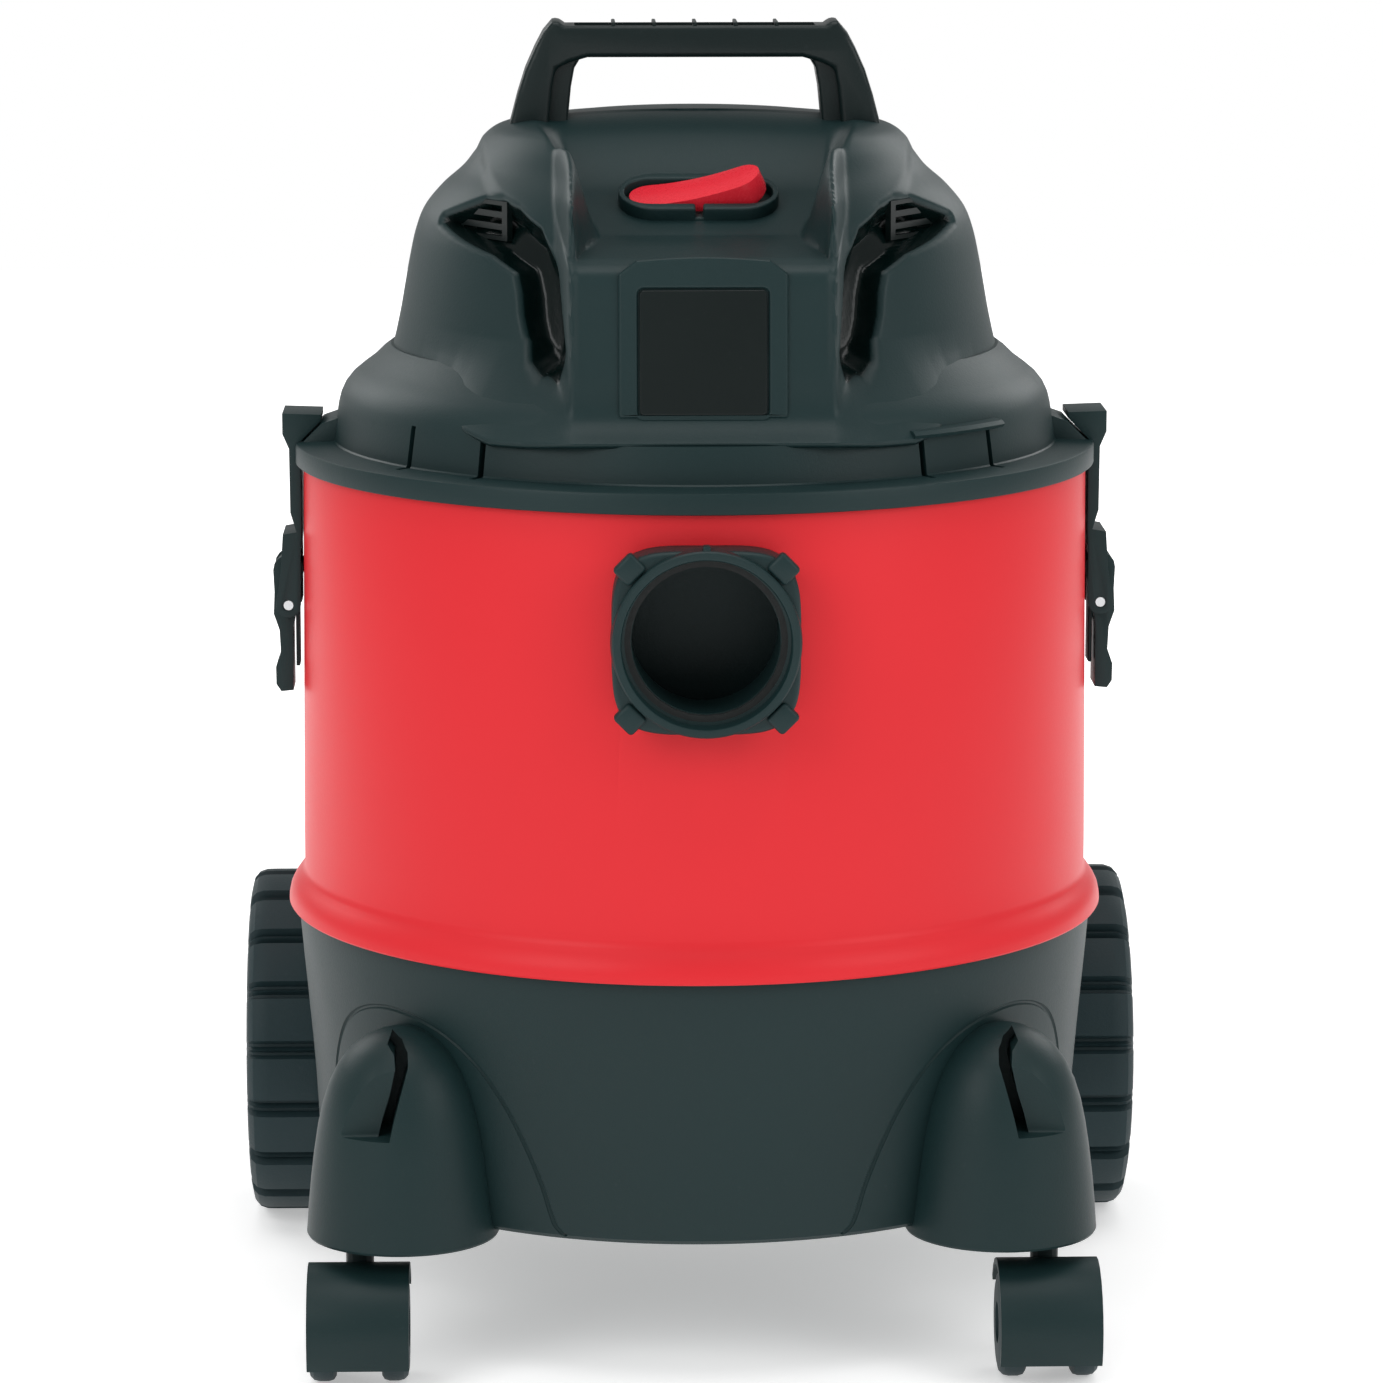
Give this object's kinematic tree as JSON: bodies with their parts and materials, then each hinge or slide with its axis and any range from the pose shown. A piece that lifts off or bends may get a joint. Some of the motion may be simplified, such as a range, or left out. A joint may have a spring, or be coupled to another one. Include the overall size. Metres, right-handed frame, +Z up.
{
  "type": "shop vacuum",
  "caption": "Upright wet and dry vacuum: drum on a wheeled base, lift-off motor head held by side latches, front hose socket and a carrying handle.",
  "frame": {"origin": "on the floor, under the middle of the whole object", "axes": "+Z up, -Y towards the hose socket, +X to the right when facing the hose socket from the front, as the object is seen with the switch and badge towards the viewer"},
  "size_m": [0.377, 0.37, 0.523],
  "materials": {
    "red_plastic": "satin moulded polypropylene, bright red",
    "black_plastic": "fine-textured moulded polypropylene, black with a cool grey-green cast",
    "deep_black_plastic": "satin moulded plastic, deep black",
    "gloss_black_plastic": "polished moulded plastic, near black",
    "wheel_plastic": "tough moulded plastic, black",
    "rocker_red_plastic": "glossy moulded plastic, red",
    "grey_plastic": "plain moulded plastic, mid grey",
    "ivory_plastic": "plain moulded plastic, off white",
    "rubber": "soft moulded rubber, black",
    "foam": "open-cell foam sleeve, dark grey",
    "steel": "bright turned steel",
    "copper": "enamelled copper windings on laminated steel"
  },
  "bodies": {
    "chassis": {"tank": "red_plastic", "base_chassis": "black_plastic", "inlet_port": "black_plastic", "inlet_gasket": "rubber", "inlet_deflector": "black_plastic", "rear_axle_left": "steel", "latch_bracket_left": "black_plastic", "latch_pivot_pin_left": "steel", "rear_axle_right": "steel", "latch_bracket_right": "black_plastic", "latch_pivot_pin_right": "steel"},
    "head": {"head_base": "black_plastic", "motor_cover": "black_plastic", "carry_handle": "deep_black_plastic", "switch_bezel": "black_plastic", "badge_plate": "gloss_black_plastic", "vent_grille_left": "gloss_black_plastic", "vent_grille_right": "gloss_black_plastic", "exhaust_grille": "gloss_black_plastic", "cable_gland": "rubber", "switch_body": "ivory_plastic", "motor_stator": "copper", "motor_mount_ring": "rubber", "motor_bracket_lower": "steel", "motor_bracket_upper": "steel", "lower_bearing": "steel", "upper_bearing": "steel", "fan_shroud": "grey_plastic", "lid_seal": "rubber", "float_cage": "grey_plastic", "filter_sleeve": "foam", "filter_band": "rubber", "cover_screw_1": "steel", "cover_screw_2": "steel", "cover_screw_3": "steel", "cover_screw_4": "steel"},
    "rocker": {"switch_rocker": "rocker_red_plastic"},
    "rotor": {"motor_shaft": "steel", "motor_armature": "copper", "fan_impeller": "grey_plastic", "cooling_fan": "grey_plastic"},
    "float": {"float_ball": "ivory_plastic"},
    "latch_lever_left": {"latch_lever_left": "black_plastic"},
    "latch_hook_pin_left": {"latch_hook_pin_left": "steel"},
    "latch_hook_left": {"latch_hook_left": "black_plastic"},
    "rear_wheel_left": {"rear_wheel_left": "wheel_plastic", "hub_cap_left": "black_plastic"},
    "caster_left": {"caster_hood_left": "black_plastic", "caster_axle_left": "steel"},
    "caster_wheel_left_left": {"caster_wheel_left_left": "wheel_plastic"},
    "caster_wheel_left_right": {"caster_wheel_left_right": "wheel_plastic"},
    "latch_lever_right": {"latch_lever_right": "black_plastic"},
    "latch_hook_pin_right": {"latch_hook_pin_right": "steel"},
    "latch_hook_right": {"latch_hook_right": "black_plastic"},
    "rear_wheel_right": {"rear_wheel_right": "wheel_plastic", "hub_cap_right": "black_plastic"},
    "caster_right": {"caster_hood_right": "black_plastic", "caster_axle_right": "steel"},
    "caster_wheel_right_left": {"caster_wheel_right_left": "wheel_plastic"},
    "caster_wheel_right_right": {"caster_wheel_right_right": "wheel_plastic"}
  },
  "joints": [
    {"name": "head_lift", "type": "slide", "parent": "chassis", "child": "head", "axis": [0, 0, 1], "range_m": [0, 0.105]},
    {"name": "switch_rock", "type": "hinge", "parent": "head", "child": "rocker", "pos_m": [0, -0.0671, 0.4548], "axis": [0, 0.9219, 0.3875], "range_deg": [0, 24]},
    {"name": "motor_spin", "type": "hinge", "parent": "head", "child": "rotor", "pos_m": [0, -0.007, 0.42], "axis": [0, 0, 1], "continuous": true},
    {"name": "float_rise", "type": "slide", "parent": "head", "child": "float", "axis": [0, 0, 1], "range_m": [0, 0.033]},
    {"name": "latch_lever_left", "type": "hinge", "parent": "chassis", "child": "latch_lever_left", "pos_m": [-0.165, -0.007, 0.301], "axis": [0, 1, 0], "range_deg": [0, 75]},
    {"name": "latch_hook_pin_left", "type": "hinge", "parent": "latch_lever_left", "child": "latch_hook_pin_left", "pos_m": [-0.165, -0.007, 0.287], "axis": [0, 1, 0], "range_deg": [-76, 1]},
    {"name": "latch_hook_left", "type": "hinge", "parent": "latch_hook_pin_left", "child": "latch_hook_left", "pos_m": [-0.165, -0.007, 0.287], "axis": [0, -1, 0], "range_deg": [-1, 81]},
    {"name": "rear_wheel_left", "type": "hinge", "parent": "chassis", "child": "rear_wheel_left", "pos_m": [-0.1695, 0.111, 0.074], "axis": [1, 0, 0], "continuous": true},
    {"name": "caster_swivel_left", "type": "hinge", "parent": "chassis", "child": "caster_left", "pos_m": [-0.135, -0.13, 0.06], "axis": [0, 0, 1], "continuous": true},
    {"name": "caster_wheel_left_left", "type": "hinge", "parent": "caster_left", "child": "caster_wheel_left_left", "pos_m": [-0.1494, -0.145, 0.021], "axis": [1, 0, 0], "continuous": true},
    {"name": "caster_wheel_left_right", "type": "hinge", "parent": "caster_left", "child": "caster_wheel_left_right", "pos_m": [-0.1206, -0.145, 0.021], "axis": [1, 0, 0], "continuous": true},
    {"name": "latch_lever_right", "type": "hinge", "parent": "chassis", "child": "latch_lever_right", "pos_m": [0.165, -0.007, 0.301], "axis": [0, -1, 0], "range_deg": [0, 75]},
    {"name": "latch_hook_pin_right", "type": "hinge", "parent": "latch_lever_right", "child": "latch_hook_pin_right", "pos_m": [0.165, -0.007, 0.287], "axis": [0, -1, 0], "range_deg": [-76, 1]},
    {"name": "latch_hook_right", "type": "hinge", "parent": "latch_hook_pin_right", "child": "latch_hook_right", "pos_m": [0.165, -0.007, 0.287], "axis": [0, 1, 0], "range_deg": [-1, 81]},
    {"name": "rear_wheel_right", "type": "hinge", "parent": "chassis", "child": "rear_wheel_right", "pos_m": [0.1695, 0.111, 0.074], "axis": [1, 0, 0], "continuous": true},
    {"name": "caster_swivel_right", "type": "hinge", "parent": "chassis", "child": "caster_right", "pos_m": [0.135, -0.13, 0.06], "axis": [0, 0, 1], "continuous": true},
    {"name": "caster_wheel_right_left", "type": "hinge", "parent": "caster_right", "child": "caster_wheel_right_left", "pos_m": [0.1206, -0.145, 0.021], "axis": [1, 0, 0], "continuous": true},
    {"name": "caster_wheel_right_right", "type": "hinge", "parent": "caster_right", "child": "caster_wheel_right_right", "pos_m": [0.1494, -0.145, 0.021], "axis": [1, 0, 0], "continuous": true}
  ],
  "couplings": [
    {"joint": "latch_hook_pin_left", "follows": "latch_lever_left", "ratio": -1},
    {"joint": "latch_hook_left", "follows": "head_lift", "rad_per_m": 13.3},
    {"joint": "latch_hook_pin_right", "follows": "latch_lever_right", "ratio": -1},
    {"joint": "latch_hook_right", "follows": "head_lift", "rad_per_m": 13.3}
  ]
}
